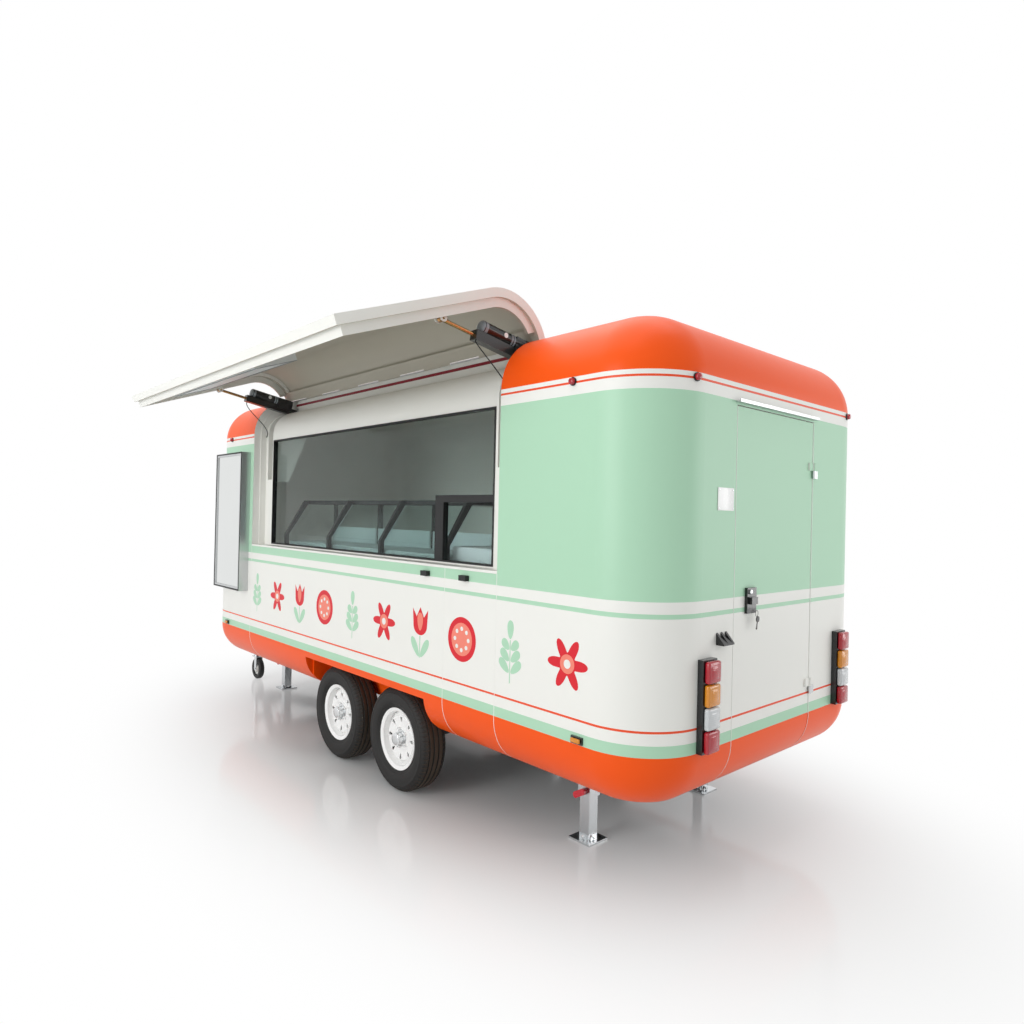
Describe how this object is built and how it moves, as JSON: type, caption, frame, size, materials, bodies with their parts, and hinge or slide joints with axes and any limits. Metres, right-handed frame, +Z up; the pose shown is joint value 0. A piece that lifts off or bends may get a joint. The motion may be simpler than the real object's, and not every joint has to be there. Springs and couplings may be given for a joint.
{
  "type": "food and beverage trailer",
  "caption": "Tandem-axle catering trailer with a rounded moulded cabin, lift-up serving hatch on electric actuators, glazed counter, rear door, prop legs and jockey wheel.",
  "frame": {"origin": "centre of the coupling's ball socket", "axes": "+X forward along the drawbar, +Y to the trailer's left (the serving side), +Z up"},
  "size_m": [6.0932, 2.9231, 2.757],
  "materials": {
    "cabin_skin": "moulded glass fibre, gloss paint in bands",
    "roof_skin": "moulded glass fibre, gloss paint",
    "hatch_skin": "moulded glass fibre, satin gel coat",
    "floor_plate": "chequer plate",
    "rubber": "extruded gasket",
    "window_glass": "clear float glass",
    "menu_glass": "dark reflective glass",
    "counter_top": "brushed",
    "black_aluminium": "black anodised",
    "brushed_steel": "brushed",
    "black_steel": "black paint",
    "zinc": "zinc plated",
    "red_enamel": "red enamel",
    "black_plastic": "moulded",
    "red_lens": "moulded lens",
    "amber_lens": "moulded lens",
    "clear_lens": "moulded lens",
    "lead_rubber": "cable sheath",
    "lamp_diffuser": "opal cover",
    "rod_steel": "bronze-plated rod",
    "tyre": "ribbed tread",
    "rim_white": "white enamel",
    "jockey_rubber": "solid rubber on a hub"
  },
  "bodies": {
    "trailer": {"rear_shell": "cabin_skin", "front_shell": "cabin_skin", "left_wall": "cabin_skin", "right_wall": "cabin_skin", "roof_panel": "roof_skin", "floor_panel": "floor_plate", "window_surround": "hatch_skin", "actuator_pockets": "hatch_skin", "hatch_hinge": "brushed_steel", "window_gasket": "rubber", "glazing": "window_glass", "counter": "counter_top", "display_frame": "black_aluminium", "display_glass": "window_glass", "menu_frame": "brushed_steel", "menu_glass": "menu_glass", "wheel_wells": "roof_skin", "chassis_rails": "black_steel", "cross_members": "black_steel", "drawbar": "black_steel", "coupler": "zinc", "axles": "black_steel", "leg_sleeves": "zinc", "jockey_tube": "zinc", "red_handles": "red_enamel", "door_fittings": "brushed_steel", "lamp_bases": "black_plastic", "red_lenses": "red_lens", "amber_lenses": "amber_lens", "clear_lenses": "clear_lens", "lead_rear": "lead_rubber", "lead_front": "lead_rubber"},
    "hatch": {"hatch": "hatch_skin", "hatch_lamp": "lamp_diffuser"},
    "door": {"door": "cabin_skin", "door_handle": "black_plastic"},
    "housing_rear": {"housing_rear": "black_plastic"},
    "rod_rear": {"rod_rear": "rod_steel"},
    "housing_front": {"housing_front": "black_plastic"},
    "rod_front": {"rod_front": "rod_steel"},
    "wheel_left_rear": {"tyre_left_rear": "tyre", "rim_left_rear": "rim_white"},
    "wheel_left_front": {"tyre_left_front": "tyre", "rim_left_front": "rim_white"},
    "wheel_right_rear": {"tyre_right_rear": "tyre", "rim_right_rear": "rim_white"},
    "wheel_right_front": {"tyre_right_front": "tyre", "rim_right_front": "rim_white"},
    "leg_left_rear": {"leg_left_rear": "zinc"},
    "leg_left_front": {"leg_left_front": "zinc"},
    "leg_right_rear": {"leg_right_rear": "zinc"},
    "leg_right_front": {"leg_right_front": "zinc"},
    "jockey_stem": {"jockey_stem": "zinc"},
    "jockey_fork": {"jockey_fork": "zinc"},
    "jockey_wheel": {"jockey_wheel": "jockey_rubber"}
  },
  "joints": [
    {"name": "hatch_lift", "type": "hinge", "parent": "trailer", "child": "hatch", "pos_m": [-3.56, 0.69, 2.121], "axis": [1, 0, 0], "range_deg": [-70, 0]},
    {"name": "door_swing", "type": "hinge", "parent": "trailer", "child": "door", "pos_m": [-6.009, -0.32, 0.87], "axis": [0, 0, 1], "range_deg": [0, 110]},
    {"name": "actuator_rear_swing", "type": "hinge", "parent": "trailer", "child": "housing_rear", "pos_m": [-4.975, 0.64, 2.002], "axis": [1, 0, 0], "range_deg": [-70.95, 0], "deforming": ["lead_rear"]},
    {"name": "actuator_rear_stroke", "type": "slide", "parent": "housing_rear", "child": "rod_rear", "axis": [0, 0.983, 0.1835], "range_m": [-0.149, 0]},
    {"name": "actuator_front_swing", "type": "hinge", "parent": "trailer", "child": "housing_front", "pos_m": [-2.145, 0.64, 2.002], "axis": [1, 0, 0], "range_deg": [-70.95, 0], "deforming": ["lead_front"]},
    {"name": "actuator_front_stroke", "type": "slide", "parent": "housing_front", "child": "rod_front", "axis": [0, 0.983, 0.1835], "range_m": [-0.149, 0]},
    {"name": "wheel_left_rear_spin", "type": "hinge", "parent": "trailer", "child": "wheel_left_rear", "pos_m": [-4.113, 0.8625, -0.125], "axis": [0, 1, 0], "continuous": true},
    {"name": "wheel_left_front_spin", "type": "hinge", "parent": "trailer", "child": "wheel_left_front", "pos_m": [-3.397, 0.8625, -0.125], "axis": [0, 1, 0], "continuous": true},
    {"name": "wheel_right_rear_spin", "type": "hinge", "parent": "trailer", "child": "wheel_right_rear", "pos_m": [-4.113, -0.8625, -0.125], "axis": [0, 1, 0], "continuous": true},
    {"name": "wheel_right_front_spin", "type": "hinge", "parent": "trailer", "child": "wheel_right_front", "pos_m": [-3.397, -0.8625, -0.125], "axis": [0, 1, 0], "continuous": true},
    {"name": "leg_left_rear_raise", "type": "slide", "parent": "trailer", "child": "leg_left_rear", "axis": [0, 0, 1], "range_m": [0, 0.13]},
    {"name": "leg_left_front_raise", "type": "slide", "parent": "trailer", "child": "leg_left_front", "axis": [0, 0, 1], "range_m": [0, 0.13]},
    {"name": "leg_right_rear_raise", "type": "slide", "parent": "trailer", "child": "leg_right_rear", "axis": [0, 0, 1], "range_m": [0, 0.13]},
    {"name": "leg_right_front_raise", "type": "slide", "parent": "trailer", "child": "leg_right_front", "axis": [0, 0, 1], "range_m": [0, 0.13]},
    {"name": "jockey_raise", "type": "slide", "parent": "trailer", "child": "jockey_stem", "axis": [0, 0, 1], "range_m": [0, 0.12]},
    {"name": "jockey_swivel", "type": "hinge", "parent": "jockey_stem", "child": "jockey_fork", "pos_m": [-0.86, 0.44, -0.23], "axis": [0, 0, 1], "continuous": true},
    {"name": "jockey_spin", "type": "hinge", "parent": "jockey_fork", "child": "jockey_wheel", "pos_m": [-0.905, 0.44, -0.33], "axis": [0, 1, 0], "continuous": true}
  ],
  "couplings": [
    {"joint": "actuator_rear_swing", "follows": "hatch_lift", "ratio": 1.0065},
    {"joint": "actuator_rear_stroke", "follows": "hatch_lift", "m_per_rad": 0.12114},
    {"joint": "actuator_front_swing", "follows": "hatch_lift", "ratio": 1.0065},
    {"joint": "actuator_front_stroke", "follows": "hatch_lift", "m_per_rad": 0.12114}
  ]
}
